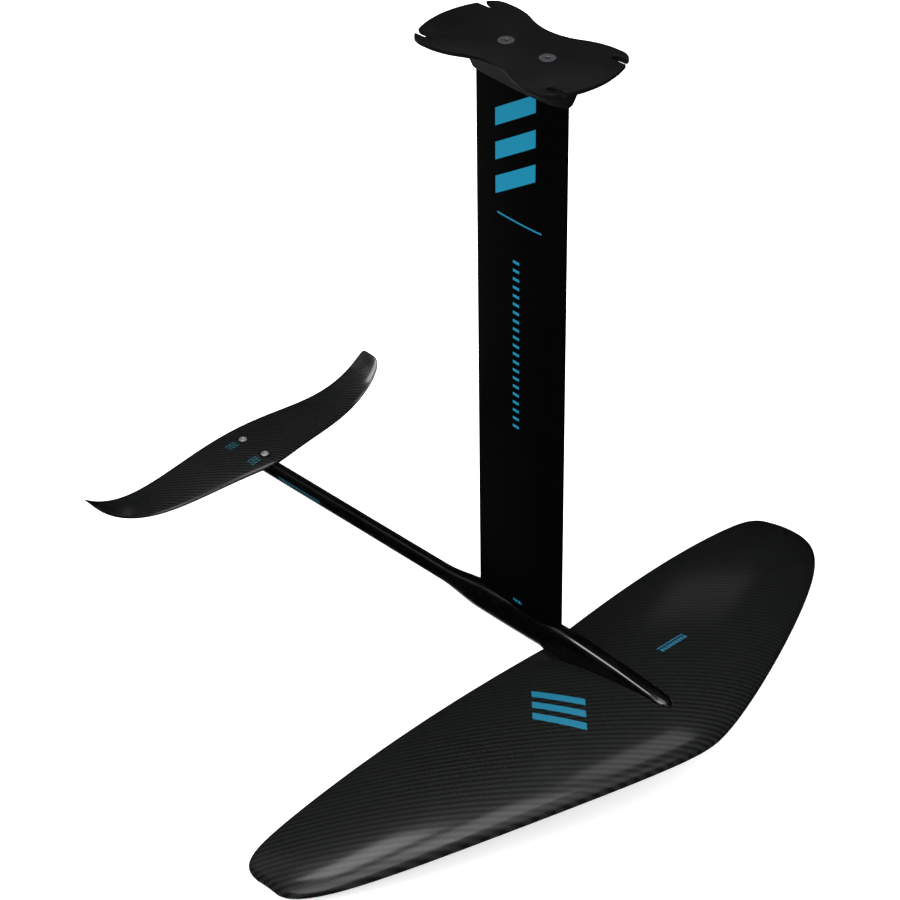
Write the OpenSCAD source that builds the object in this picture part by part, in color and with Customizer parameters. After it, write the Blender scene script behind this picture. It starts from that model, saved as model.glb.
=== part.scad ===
// Hydrofoil for a wing or surf board: mast plate, foil-section mast, fuselage, front wing and
// rear stabiliser, bolted together. Millimetres, +X forward, +Y to port, +Z up.
// The origin is the centre of the mast plate's top face, which bolts against the board.

/* [Mast plate] */
// Length of the plate, fore and aft
plate_l = 214.6; // [204:0.2:230]
// Width across its four lobes
plate_w = 120.2; // [112:0.2:124]
// Width of the waist between the lobes
plate_waist = 86.8; // [84:0.2:96]
// Thickness of the plate
plate_t = 6; // [5:0.5:10]
// Radius of the two bowed ends
plate_end_r = 101.4; // [98:0.2:140]
// Radius of the two hollows in the sides
plate_waist_r = 73.8; // [70:0.2:90]
// Radius of the lobes' corners
plate_corner_r = 20.4; // [16:0.2:20.6]
// Radius that carries each lobe's side into the hollow
plate_side_r = 80; // [60:1:84]
// Distance between front and rear board bolts
slot_pitch_x = 165; // [160:1:170]
// Distance between the two rows of board bolts
slot_pitch_y = 90; // [88:1:92]
// Width of the open slots for M8 board bolts
slot_w = 8.5; // [8.2:0.1:9]
// Place of the rear plate screw
head_screw_rear = -19.6; // [-24:0.1:-16]
// Place of the front plate screw
head_screw_front = 35.4; // [30:0.1:40]

/* [Mast] */
// Chord of the mast
mast_chord = 123.6; // [118:0.2:130]
// Greatest thickness of the mast
mast_t = 15; // [14.5:0.5:19]
// Place of its leading edge
mast_lead = 63.1; // [60:0.1:66]
// Wall of the hollow extrusion
mast_wall = 2.2; // [2:0.1:2.6]
// Length of each solid end of the two screw ribs
rib_w = 17; // [14:1:20]
// Height of the mast's foot, under the plate's top face
mast_foot = -705; // [-707:1:-703]
// Depth of the head collar, from the plate down
head_depth = 44; // [38:1:50]
// How far the collar's top stands out from the mast
head_flare = 17; // [12:1:18]

/* [Fuselage] */
// Height of the fuselage's centre line
axis_z = -698; // [-700:0.5:-697]
// Half width and half height of the tail boom
boom_r = [8.2, 9.6];
// Half width and half height around the mast socket
socket_r = [13, 18];
// Tail end of the fuselage
tail_x = -484; // [-486:1:-480]
// Tip of the fuselage's nose
nose_x = 223; // [218:1:228]
// Half depth of the flat underside that sits in the front wing
seat_z = 15; // [14:0.5:15.5]

/* [Front wing] */
// Leading edge at the middle
wing_lead = 282.7; // [280:0.1:290]
// Trailing edge at the middle
wing_trail = 38.8; // [36:0.1:42]
// Half of the wing's span
wing_half = 423.4; // [400:0.1:440]
// Thickness as a share of the chord
wing_thick = 0.12; // [0.11:0.005:0.13]
// Camber as a share of the chord
wing_camber = 0.033; // [0.025:0.001:0.036]
// Thickness of each carbon skin
skin_t = 1.4; // [1.2:0.1:1.6]
// Places of the three screws that hold the wing
wing_screws = [85, 130, 175];

/* [Stabiliser] */
// Leading edge at the middle
stab_lead = -404.5; // [-406:0.5:-402]
// Trailing edge at the middle
stab_trail = -489.6; // [-492:0.2:-489]
// Half of its span
stab_half = 224; // [210:0.5:230]
// Thickness as a share of the chord
stab_thick = 0.08; // [0.075:0.005:0.09]
// Places of its two screws
stab_screws = [-464.3, -424.2];

/* [Hidden] */
$fn = 64;
eps = 0.01;
head_screws = [head_screw_rear, head_screw_front];
mast_trail = mast_lead - mast_chord;

// Screws: [shank diameter, head diameter, socket width across flats]
m8_countersunk = [8, 17, 5];
m8_cap = [8, 13, 6];
m6_button = [6, 10.2, 4];
m8_insert_d = 9.6;
m6_insert_d = 8;
cup_d = 14.5;
cup_t = 3.2;
foot_floor = axis_z - seat_z;
foot_head_h = 6;

// ---------- Aerofoil and planform functions ----------

// Half thickness of a symmetric section of unit chord and unit thickness, at u from the nose
function section_half(u) =
    5 * (0.2969 * sqrt(u) - 0.126 * u - 0.3516 * pow(u, 2) + 0.2843 * pow(u, 3) - 0.1036 * pow(u, 4));

// A lifting surface is [lead, apex sweep, trail, trail slope, tip x, half span, lead powers,
// trail powers, thickness, camber, height at x = 0, spread of the height, slope, edge]
wing = [
    wing_lead, 75, wing_trail, -0.094, 60, wing_half, [1.6, 1.87], [25, 4.45],
    wing_thick, wing_camber, -722.1, [-50.3, -11.7], 0.033, 0.5
];
stab = [
    stab_lead, 53, stab_trail, 0, -478, stab_half, [26, 3.6], [80, 5],
    stab_thick, 0.01, -715.6, [-62.2, 79.1], -0.066, 0.5
];
apex_round = 0.08;

function lead_line(s, r) = s[0] - s[1] * (sqrt(r * r + apex_round * apex_round) - apex_round);
function rounding(r, powers) = pow(max(0, 1 - pow(r, powers[0])), 1 / powers[1]);
function lead_x(s, y) =
    let (r = abs(y) / s[5]) s[4] + (lead_line(s, r) - s[4]) * rounding(r, s[6]);
function trail_x(s, y) =
    let (r = abs(y) / s[5]) s[4] - (s[4] - s[2] - s[3] * abs(y)) * rounding(r, s[7]);
function chord_at(s, y) = lead_x(s, y) - trail_x(s, y);
function plane_z(s, x, y) =
    let (r = abs(y) / s[5]) s[10] + s[11][0] * pow(r, 2) + s[11][1] * pow(r, 4) + s[12] * x;
// Height of the section's mid line, and its half thickness, at share u of the chord
function mid_z(s, u, y) =
    let (c = chord_at(s, y)) plane_z(s, lead_x(s, y) - u * c, y) + 4 * s[9] * u * (1 - u) * c;
function half_t(s, u, y) = s[13] + s[8] * chord_at(s, y) * section_half(u);
function share_at(s, x, y) = (lead_x(s, y) - x) / chord_at(s, y);
function upper_z(s, x, y) = let (u = share_at(s, x, y)) mid_z(s, u, y) + half_t(s, u, y);
function lower_z(s, x, y) = let (u = share_at(s, x, y)) mid_z(s, u, y) - half_t(s, u, y);

// Grid of a lifting surface: u runs from nose to tail, v from the starboard to the port tip
chord_steps = 22;
span_steps = 40;
tip_angle = 87.5;
function grid_u(i) = (1 - cos(180 * i / chord_steps)) / 2;
function grid_y(s, j) = s[5] * sin(tip_angle * (2 * j / span_steps - 1));
function grid_point(s, i, j, rise) =
    let (u = grid_u(i), y = grid_y(s, j))
    [lead_x(s, y) - u * chord_at(s, y), y, mid_z(s, u, y) + rise];
// Half thickness left for the foam core inside the skins: none near the edges and the tips
core_u = [2, chord_steps - 4];
core_v = [6, span_steps - 6];
function core_half(s, i, j) =
    (i > core_u[0] && i < core_u[1] && j > core_v[0] && j < core_v[1])
        ? half_t(s, grid_u(i), grid_y(s, j)) - skin_t : 0;

// Closed solid between two heights over the whole grid
function cell(i, j, n) = i * n + j;
function sheet_faces(m, n, from, flip) = [
    for (i = [0 : m - 2], j = [0 : n - 2], k = [0, 1])
        let (
            a = from + cell(i, j, n), b = from + cell(i + 1, j, n),
            c = from + cell(i + 1, j + 1, n), d = from + cell(i, j + 1, n),
            f = k == 0 ? [a, b, c] : [a, c, d]
        ) flip ? [f[2], f[1], f[0]] : f
];
function border(m, n) = concat(
    [for (j = [0 : n - 1]) cell(0, j, n)],
    [for (i = [1 : m - 1]) cell(i, n - 1, n)],
    [for (j = [n - 2 : -1 : 0]) cell(m - 1, j, n)],
    [for (i = [m - 2 : -1 : 1]) cell(i, 0, n)]
);
function wall_faces(m, n) =
    let (ring = border(m, n), size = len(ring), low = m * n)
    [
        for (k = [0 : size - 1], h = [0, 1])
            let (p = ring[k], q = ring[(k + 1) % size])
            h == 0 ? [p, q, low + q] : [p, low + q, low + p]
    ];
module slab(top, bottom, m, n)
    polyhedron(
        concat(top, bottom),
        concat(sheet_faces(m, n, 0, true), sheet_faces(m, n, m * n, false), wall_faces(m, n))
    );
module surface_slab(s, rise_top, rise_bottom) {
    rows = [0 : chord_steps];
    columns = [0 : span_steps];
    top = [for (i = rows, j = columns) grid_point(s, i, j, rise_top[i][j])];
    bottom = [for (i = rows, j = columns) grid_point(s, i, j, rise_bottom[i][j])];
    slab(top, bottom, chord_steps + 1, span_steps + 1);
}
function outer_rise(s, side) = [
    for (i = [0 : chord_steps]) [
        for (j = [0 : span_steps]) side * half_t(s, grid_u(i), grid_y(s, j))
    ]
];
function inner_rise(s, side) = [
    for (i = [0 : chord_steps]) [for (j = [0 : span_steps]) side * core_half(s, i, j)]
];

// ---------- Mast section ----------

// Outline of the mast's section, nose forward, drawn in or out by inset
nose_round = 0.6;
function mast_half(u) = nose_round + (mast_t - 2 * nose_round) * section_half(u);
section_steps = 36;
mast_outline = concat(
    [for (i = [0 : section_steps])
        let (u = (1 - cos(180 * i / section_steps)) / 2) [mast_lead - u * mast_chord, mast_half(u)]],
    [for (i = [section_steps : -1 : 0])
        let (u = (1 - cos(180 * i / section_steps)) / 2) [mast_lead - u * mast_chord, -mast_half(u)]]
);
// Chambers of the extrusion, as [front, rear] on either side of the two solid screw ribs
chambers = [
    [mast_lead - 9, head_screw_front + rib_w / 2],
    [head_screw_front - rib_w / 2, head_screw_rear + rib_w / 2],
    [head_screw_rear - rib_w / 2, mast_trail + 22]
];
chamber_steps = 12;
function chamber_half(x) = mast_half((mast_lead - x) / mast_chord) - mast_wall;
function chamber_outline(c, gap) =
    let (xs = [for (k = [0 : chamber_steps]) c[0] - gap + (c[1] - c[0] + 2 * gap) * k / chamber_steps])
    concat(
        [for (x = xs) [x, chamber_half(x) - gap]],
        [for (k = [chamber_steps : -1 : 0]) [xs[k], gap - chamber_half(xs[k])]]
    );

// ---------- Fuselage body ----------

// Stations from tail to nose: [x, half width, height above the axis, depth below the axis]
stations = [
    [tail_x, boom_r[0] - 1.4, boom_r[1] + 2, boom_r[1] - 1.6],
    [tail_x + 6, boom_r[0], boom_r[1] + 3.6, boom_r[1]],
    [-398, boom_r[0], boom_r[1] + 0.2, boom_r[1]],
    [-118, boom_r[0] + 0.4, boom_r[1] + 0.4, boom_r[1] + 0.2],
    [-56, socket_r[0] - 0.4, socket_r[1], socket_r[1] - 1.8],
    [0, socket_r[0], socket_r[1] + 1.4, socket_r[1] - 1.4],
    [66, socket_r[0] - 0.4, socket_r[1] + 1.8, socket_r[1] - 1.4],
    [130, 11.2, 16.6, 16.6],
    [190, 10.2, 10.6, 16.6],
    [210, 9.2, 7.6, 15.6],
    [219, 6.4, 5.2, 15.4],
    [nose_x, 2, 2.4, 14.6]
];
// The body is an oval, but its front underside is nearly square and fits closely in the wing
body_power = 2.5;
square_power = 7.5;
function under_power(x) = mix(body_power, square_power, min(1, max(0, (x - 40) / 40)));
ring_points = 28;
body_steps = 5;
function smooth(t) = t * t * (3 - 2 * t);
function mix(a, b, t) = a + (b - a) * t;
function station_at(k, t) = [
    mix(stations[k][0], stations[k + 1][0], t),
    for (n = [1 : 3]) mix(stations[k][n], stations[k + 1][n], smooth(t))
];
last_station = len(stations) - 1;
body_rows = concat(
    [for (k = [0 : last_station - 1], t = [0 : body_steps - 1]) station_at(k, t / body_steps)],
    [stations[last_station]]
);
function bend(v, power) = sign(v) * pow(abs(v), 2 / power);
function ring_point(row, a) =
    let (power = sin(a) < 0 ? under_power(row[0]) : body_power)
    [
        row[0],
        row[1] * bend(cos(a), power),
        axis_z + (sin(a) > 0 ? row[2] : row[3]) * bend(sin(a), power)
    ];
module body_loft(rows) {
    points = [for (row = rows, k = [0 : ring_points - 1]) ring_point(row, 360 * k / ring_points)];
    count = len(rows);
    sides = [
        for (r = [0 : count - 2], k = [0 : ring_points - 1], h = [0, 1])
            let (
                a = r * ring_points + k, b = r * ring_points + (k + 1) % ring_points,
                c = b + ring_points, d = a + ring_points
            ) h == 0 ? [a, b, c] : [a, c, d]
    ];
    tail_cap = [for (k = [ring_points - 1 : -1 : 0]) k];
    nose_cap = [for (k = [0 : ring_points - 1]) (count - 1) * ring_points + k];
    polyhedron(points, concat([tail_cap], sides, [nose_cap]));
}
// Plan of the pocket in the wing that the fuselage's front half drops into
pocket_gap = 0.3;
pocket_rows = [for (row = body_rows) if (row[0] > 20) row];
module wing_pocket() {
    outline = concat(
        [for (row = pocket_rows) [row[0] + pocket_gap, row[1] + pocket_gap]],
        [for (k = [len(pocket_rows) - 1 : -1 : 0])
            [pocket_rows[k][0] + pocket_gap, -pocket_rows[k][1] - pocket_gap]]
    );
    translate([0, 0, foot_floor]) linear_extrude(60) polygon(outline);
}

// ---------- Fasteners ----------

module hex_socket(width, depth)
    translate([0, 0, -depth]) cylinder(d = width / cos(30), h = depth + 1, $fn = 6);

// A countersunk screw: head face at the origin, shank down
module countersunk_screw(s, length) {
    sink = (s[1] - s[0]) / 2;
    difference() {
        union() {
            translate([0, 0, -length]) cylinder(d = s[0], h = length);
            translate([0, 0, -sink]) cylinder(d1 = s[0], d2 = s[1], h = sink);
        }
        hex_socket(s[2], 2.8);
    }
}
// A cap or button head screw: underside of the head at the origin, shank down
module cap_screw(s, length, head_h) {
    difference() {
        union() {
            translate([0, 0, -length]) cylinder(d = s[0], h = length + eps);
            cylinder(d = s[1], h = head_h);
        }
        translate([0, 0, head_h]) hex_socket(s[2], head_h * 0.6);
    }
}
module cup_washer(d, hole, t)
    difference() {
        cylinder(d = d, h = t);
        translate([0, 0, -1]) cylinder(d = hole + 0.3, h = t + 2);
        translate([0, 0, t - 1.8]) cylinder(d = m6_button[1] + 0.4, h = 3);
    }
module threaded_bush(d, hole, length)
    difference() {
        cylinder(d = d, h = length);
        translate([0, 0, -1]) cylinder(d = hole, h = length + 2);
    }

// ---------- Mast plate and head ----------

// One quarter of the outline: bowed end, lobe's corner, lobe's side and half of the hollow
function arc(centre, r, from, to, steps) = [
    for (k = [1 : steps])
        let (a = mix(from, to, k / steps)) [centre[0] + r * cos(a), centre[1] + r * sin(a)]
];
end_x = plate_l / 2 - plate_end_r;
corner_y = plate_w / 2 - plate_corner_r;
corner_run = sqrt(pow(plate_end_r - plate_corner_r, 2) - pow(corner_y, 2));
corner_angle = atan2(corner_y, corner_run);
side_y = plate_w / 2 - plate_side_r;
waist_y = plate_waist / 2 + plate_waist_r;
side_x = sqrt(pow(plate_waist_r + plate_side_r, 2) - pow(waist_y - side_y, 2));
side_angle = atan2(waist_y - side_y, -side_x);
plate_quarter = concat(
    [[plate_l / 2, 0]],
    arc([end_x, 0], plate_end_r, 0, corner_angle, 12),
    arc([end_x + corner_run, corner_y], plate_corner_r, corner_angle, 90, 10),
    [[side_x, plate_w / 2]],
    arc([side_x, side_y], plate_side_r, 90, side_angle, 10),
    arc([0, waist_y], plate_waist_r, side_angle - 180, -90, 10)
);
function turn_back(points) = [for (k = [len(points) - 2 : -1 : 1]) points[k]];
function flip(points, sx, sy) = [for (p = points) [sx * p[0], sy * p[1]]];
module plate_outline()
    polygon(concat(
        plate_quarter, turn_back(flip(plate_quarter, -1, 1)),
        flip(plate_quarter, -1, -1), turn_back(flip(plate_quarter, 1, -1))
    ));
module board_slot()
    union() {
        cylinder(d = slot_w, h = plate_t + 2);
        translate([0, -slot_w / 2, 0]) cube([40, slot_w, plate_t + 2]);
    }
module mast_plate() color([0.10, 0.10, 0.11])
    difference() {
        translate([0, 0, -plate_t]) linear_extrude(plate_t) plate_outline();
        for (sx = [-1, 1], sy = [-1, 1])
            translate([sx * slot_pitch_x / 2, sy * slot_pitch_y / 2, -plate_t - 1])
                mirror([sx < 0 ? 1 : 0, 0]) board_slot();
        for (x = head_screws) translate([x, 0, 0]) screw_sink(m8_countersunk);
    }
module screw_sink(s) {
    sink = (s[1] - s[0]) / 2;
    translate([0, 0, -40]) cylinder(d = s[0] + 0.4, h = 50);
    translate([0, 0, -sink]) cylinder(d1 = s[0], d2 = s[1], h = sink);
    cylinder(d = s[1], h = 1);
}
module mast_plate_screws() color([0.32, 0.33, 0.35])
    for (x = head_screws) translate([x, 0, -0.05]) countersunk_screw(m8_countersunk, 36);

module collar_slice(z, grow)
    translate([0, 0, z]) linear_extrude(eps) offset(r = grow, $fn = 32) polygon(mast_outline);
collar_floor = 6;
module mast_head() color([0.09, 0.09, 0.10])
    difference() {
        union() {
            hull() {
                collar_slice(-plate_t - eps, head_flare);
                collar_slice(3 - head_depth, 3.6);
            }
            hull() {
                collar_slice(3 - head_depth, 3.6);
                collar_slice(-head_depth, 0.8);
            }
        }
        translate([0, 0, -head_depth - 1])
            linear_extrude(head_depth + 1 - plate_t - collar_floor) polygon(mast_outline);
        for (x = head_screws) translate([x, 0, -60]) cylinder(d = 8.4, h = 60);
    }

// ---------- Mast ----------

mast_top = -plate_t - collar_floor;
insert_h = 24;
plug_h = 30;
module mast() color([0.045, 0.047, 0.05])
    difference() {
        translate([0, 0, mast_foot]) linear_extrude(mast_top - mast_foot) polygon(mast_outline);
        for (c = chambers)
            translate([0, 0, mast_foot - 1]) linear_extrude(mast_top - mast_foot + 2)
                polygon(chamber_outline(c, 0));
        for (x = head_screws) {
            translate([x, 0, mast_top - insert_h]) cylinder(d = m8_insert_d, h = insert_h + 1);
            translate([x, 0, mast_foot - 1]) cylinder(d = m8_insert_d, h = insert_h + 1);
        }
    }
module mast_head_thread_inserts() color("silver")
    for (x = head_screws)
        translate([x, 0, mast_top - insert_h]) threaded_bush(m8_insert_d, 8, insert_h);
module mast_foot_thread_inserts() color("silver")
    for (x = head_screws) translate([x, 0, mast_foot]) threaded_bush(m8_insert_d, 8, insert_h);
module chamber_plugs()
    for (c = chambers) linear_extrude(plug_h) polygon(chamber_outline(c, 0));
module mast_head_plugs() color([0.5, 0.5, 0.48])
    translate([0, 0, mast_top - plug_h]) chamber_plugs();
module mast_foot_plugs() color([0.5, 0.5, 0.48])
    translate([0, 0, mast_foot]) chamber_plugs();
module mast_foot_screws() color([0.55, 0.56, 0.58])
    for (x = head_screws)
        translate([x, 0, foot_floor + foot_head_h + 0.2]) mirror([0, 0, 1])
            cap_screw(m8_cap, mast_foot + insert_h - 2 - foot_floor - foot_head_h, foot_head_h);

// ---------- Fuselage ----------

wing_insert_h = 14;
tail_insert_h = 9;
seat_drop = 1.8;
module fuselage() color([0.02, 0.02, 0.022])
    difference() {
        body_loft(body_rows);
        translate([30, -30, foot_floor - 20]) cube([nose_x, 60, 20]);
        translate([0, 0, mast_foot]) linear_extrude(60) polygon(mast_outline);
        for (x = head_screws) {
            translate([x, 0, foot_floor - 8]) cylinder(d = m8_cap[1] + 0.4, h = foot_head_h + 8.2);
            translate([x, 0, foot_floor - 8]) cylinder(d = 8.4, h = 30);
        }
        for (x = wing_screws)
            translate([x, 0, foot_floor - 1]) cylinder(d = m6_insert_d, h = wing_insert_h + 1);
        for (x = stab_screws) translate([x, 0, stab_seat(x) - tail_insert_h])
            cylinder(d = m6_insert_d, h = tail_insert_h + 12);
        tail_seat_cut();
    }
// Sloped flat on top of the boom that the stabiliser is bolted to
function stab_seat(x) = plane_z(stab, x, 0) - seat_drop;
module tail_seat_cut()
    translate([stab_lead + 2, 0, stab_seat(stab_lead + 2)]) rotate([0, atan(-stab[12]), 0])
        translate([-120, -20, 0]) cube([120, 40, 30]);
module fuselage_wing_inserts() color("silver")
    for (x = wing_screws)
        translate([x, 0, foot_floor]) threaded_bush(m6_insert_d, 6, wing_insert_h);
module fuselage_tail_inserts() color("silver")
    for (x = stab_screws)
        translate([x, 0, stab_seat(x) - tail_insert_h]) threaded_bush(m6_insert_d, 6, tail_insert_h - 1);

// ---------- Front wing ----------

hardpoint = [[74, 212], 24];
washer_drop = 0.4;
module wing_screw_holes(d)
    for (x = wing_screws) translate([x, 0, -760]) cylinder(d = d, h = 60);
module wing_washer_seats()
    for (x = wing_screws)
        translate([x, 0, lower_z(wing, x, 0) + cup_t + washer_drop]) mirror([0, 0, 1])
            cylinder(d = cup_d, h = 20);
module front_wing_upper_skin() color([0.07, 0.07, 0.075])
    difference() {
        surface_slab(wing, outer_rise(wing, 1), inner_rise(wing, 1));
        wing_pocket();
    }
module front_wing_lower_skin() color([0.07, 0.07, 0.075])
    difference() {
        surface_slab(wing, inner_rise(wing, -1), outer_rise(wing, -1));
        wing_pocket();
        wing_washer_seats();
    }
core_rows = [for (i = [core_u[0] : core_u[1]]) i];
core_columns = [for (j = [core_v[0] : core_v[1]]) j];
// The core's two faces meet at its rim, where it has no thickness, and share the rim's points
module core_solid() {
    m = len(core_rows);
    n = len(core_columns);
    rim = border(m, n);
    on_rim = function (k) len(search(k, rim)) > 0;
    faces = [
        for (f = sheet_faces(m, n, 0, true)) if (!(on_rim(f[0]) && on_rim(f[1]) && on_rim(f[2]))) f
    ];
    under = [for (f = faces) [for (k = [2, 1, 0]) on_rim(f[k]) ? f[k] : f[k] + m * n]];
    top = [for (i = core_rows, j = core_columns) grid_point(wing, i, j, core_half(wing, i, j))];
    bottom = [for (i = core_rows, j = core_columns) grid_point(wing, i, j, -core_half(wing, i, j))];
    polyhedron(concat(top, bottom), concat(faces, under));
}
module hardpoint_block(gap)
    translate([hardpoint[0][0] - gap, -hardpoint[1] - gap, -760])
        cube([hardpoint[0][1] - hardpoint[0][0] + 2 * gap, 2 * hardpoint[1] + 2 * gap, 80]);
module front_wing_core() color([0.29, 0.28, 0.26])
    difference() {
        core_solid();
        hardpoint_block(0);
        wing_pocket();
    }
module front_wing_hardpoint() color([0.12, 0.13, 0.12])
    difference() {
        intersection() {
            core_solid();
            hardpoint_block(0);
        }
        wing_pocket();
        wing_screw_holes(m6_button[0] + 0.4);
        wing_washer_seats();
    }
module front_wing_washers() color([0.03, 0.03, 0.03])
    for (x = wing_screws)
        translate([x, 0, lower_z(wing, x, 0) + cup_t + washer_drop]) mirror([0, 0, 1])
            cup_washer(cup_d, m6_button[0], cup_t);
module front_wing_screws() color("silver")
    for (x = wing_screws) {
        head = lower_z(wing, x, 0) + washer_drop + 1.8;
        translate([x, 0, head]) mirror([0, 0, 1])
            cap_screw(m6_button, foot_floor + wing_insert_h - 2 - head, 1.6);
    }

// ---------- Stabiliser ----------

function cup_top(x) = upper_z(stab, x, 0) + 0.4;
module stabiliser() color([0.07, 0.07, 0.075])
    difference() {
        surface_slab(stab, outer_rise(stab, 1), outer_rise(stab, -1));
        translate([stab_lead + 2, 0, stab_seat(stab_lead + 2)]) rotate([0, atan(-stab[12]), 0])
            translate([-120, -boom_r[0] - 1, -20]) cube([140, 2 * boom_r[0] + 2, 20]);
        for (x = stab_screws) {
            translate([x, 0, -720]) cylinder(d = m6_button[0] + 0.4, h = 60);
            translate([x, 0, cup_top(x) - cup_t]) cylinder(d = cup_d, h = 20);
        }
    }
module stabiliser_washers() color([0.02, 0.02, 0.02])
    for (x = stab_screws)
        translate([x, 0, cup_top(x) - cup_t]) cup_washer(cup_d, m6_button[0], cup_t);
module stabiliser_screws() color("silver")
    for (x = stab_screws)
        translate([x, 0, cup_top(x) - 1.8]) cap_screw(m6_button, 12, 2.4);

mast_plate();
mast_plate_screws();
mast_head();
mast();
mast_head_thread_inserts();
mast_head_plugs();
mast_foot_thread_inserts();
mast_foot_plugs();
mast_foot_screws();
fuselage();
fuselage_wing_inserts();
fuselage_tail_inserts();
front_wing_upper_skin();
front_wing_lower_skin();
front_wing_core();
front_wing_hardpoint();
front_wing_screws();
front_wing_washers();
stabiliser();
stabiliser_screws();
stabiliser_washers();
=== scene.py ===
from math import asin, atan2, cos, pi, radians, sin, sqrt

import bmesh
import bpy
import numpy as np
from mathutils import Matrix, Vector


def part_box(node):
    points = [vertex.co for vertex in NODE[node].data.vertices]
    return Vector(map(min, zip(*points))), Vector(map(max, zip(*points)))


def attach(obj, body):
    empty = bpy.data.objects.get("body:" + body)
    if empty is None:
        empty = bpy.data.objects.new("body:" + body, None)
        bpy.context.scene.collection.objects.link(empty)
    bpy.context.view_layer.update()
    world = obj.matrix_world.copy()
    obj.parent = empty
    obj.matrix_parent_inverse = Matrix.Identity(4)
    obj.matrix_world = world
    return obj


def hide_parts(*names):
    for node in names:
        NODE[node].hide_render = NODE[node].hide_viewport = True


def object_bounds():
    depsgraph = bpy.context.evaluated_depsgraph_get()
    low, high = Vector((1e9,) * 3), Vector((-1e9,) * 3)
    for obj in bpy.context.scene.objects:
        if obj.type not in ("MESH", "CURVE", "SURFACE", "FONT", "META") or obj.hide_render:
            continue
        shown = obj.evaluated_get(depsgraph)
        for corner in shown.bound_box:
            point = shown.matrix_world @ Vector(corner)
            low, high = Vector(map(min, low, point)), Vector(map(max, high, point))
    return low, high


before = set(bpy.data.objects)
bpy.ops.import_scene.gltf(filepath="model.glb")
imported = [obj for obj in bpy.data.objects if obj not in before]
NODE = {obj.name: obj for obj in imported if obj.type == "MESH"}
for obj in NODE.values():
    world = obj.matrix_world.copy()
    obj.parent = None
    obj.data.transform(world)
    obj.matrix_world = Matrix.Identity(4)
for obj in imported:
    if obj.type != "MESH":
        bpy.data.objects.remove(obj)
cad_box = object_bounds()
MM = 0.001

# ---------- Camera ----------
# The camera looks down on the starboard side from ahead of the wing.
VIEW_AZIMUTH = radians(45.03)
VIEW_ELEVATION = radians(34.70)
VIEW_ROLL = radians(-0.55)
VIEW_DISTANCE = 2.6934
AIM = Vector((0.0015, -0.0680, -0.4227))
LENS = 104.13
SENSOR = 36
SHIFT = (-0.0282, -0.0127)


def make_camera():
    back = Vector((
        cos(VIEW_ELEVATION) * cos(VIEW_AZIMUTH),
        -cos(VIEW_ELEVATION) * sin(VIEW_AZIMUTH),
        sin(VIEW_ELEVATION),
    ))
    level = Vector((0, 0, 1)).cross(back).normalized()
    rise = back.cross(level)
    right = cos(VIEW_ROLL) * level + sin(VIEW_ROLL) * rise
    up = cos(VIEW_ROLL) * rise - sin(VIEW_ROLL) * level
    data = bpy.data.cameras.new("camera")
    data.lens = LENS
    data.sensor_width = SENSOR
    data.shift_x, data.shift_y = SHIFT
    data.clip_end = 100
    camera = bpy.data.objects.new("camera", data)
    bpy.context.scene.collection.objects.link(camera)
    turn = Matrix((right, up, back)).transposed().to_4x4()
    camera.matrix_world = Matrix.Translation(AIM + VIEW_DISTANCE * back) @ turn
    bpy.context.scene.camera = camera


make_camera()


# ---------- Mesh tools: all lengths are in millimetres until finish_mesh ----------
def link(name, mesh):
    piece = bpy.data.objects.new(name, mesh)
    bpy.context.scene.collection.objects.link(piece)
    return piece


def finish_mesh(name, bm, sharp=30):
    """Turns a bmesh in millimetres into an object in metres, with smooth shading up to sharp degrees."""
    bmesh.ops.remove_doubles(bm, verts=bm.verts, dist=1e-4)
    bmesh.ops.dissolve_degenerate(bm, edges=bm.edges, dist=1e-5)
    bmesh.ops.recalc_face_normals(bm, faces=bm.faces)
    bmesh.ops.scale(bm, vec=(MM, MM, MM), verts=bm.verts)
    mesh = bpy.data.meshes.new(name)
    bm.to_mesh(mesh)
    bm.free()
    shade(mesh, sharp)
    return link(name, mesh)


def shade(mesh, sharp=30):
    mesh.polygons.foreach_set("use_smooth", [True] * len(mesh.polygons))
    mesh.set_sharp_from_angle(angle=radians(sharp))


def stack(bm, loops):
    """Walls between closed loops of the same count; returns the rows of vertices."""
    rows = [[bm.verts.new(p) for p in loop] for loop in loops]
    for low, high in zip(rows, rows[1:]):
        for k in range(len(low)):
            q = (k + 1) % len(low)
            bm.faces.new((low[k], low[q], high[q], high[k]))
    return rows


def cap(bm, rows):
    """Fills the flat area between an outer row and any inner ones."""
    edges = []
    for row in rows:
        for k, v in enumerate(row):
            w = row[(k + 1) % len(row)]
            edges.append(bm.edges.get((v, w)) or bm.edges.new((v, w)))
    bmesh.ops.triangle_fill(bm, edges=edges, use_beauty=True)


def at_height(outline, z):
    return [(x, y, z) for x, y in outline]


def circle(centre, radius, count=64):
    turns = [2 * pi * k / count for k in range(count)]
    return [(centre[0] + radius * cos(a), centre[1] + radius * sin(a)) for a in turns]


def inset(outline, depth):
    """Moves each edge of a counter-clockwise outline inwards by its own depth."""
    p = np.asarray(outline, float)
    along = np.roll(p, -1, 0) - p
    along /= np.linalg.norm(along, axis=1)[:, None]
    inward = np.stack([-along[:, 1], along[:, 0]], 1)
    before, d0 = np.roll(inward, 1, 0), np.roll(depth, 1)
    corner = np.einsum("ij,ij->i", before, inward)
    turn = before[:, 0] * inward[:, 1] - before[:, 1] * inward[:, 0]
    straight = np.abs(turn) < 0.02
    safe = np.where(straight, 1, turn)
    mitre_x = (d0 * inward[:, 1] - depth * before[:, 1]) / safe
    mitre_y = (depth * before[:, 0] - d0 * inward[:, 0]) / safe
    plain = (before * d0[:, None] + inward * depth[:, None]) / (1 + corner)[:, None]
    move = np.where(straight[:, None], plain, np.stack([mitre_x, mitre_y], 1))
    return p + move


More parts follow.
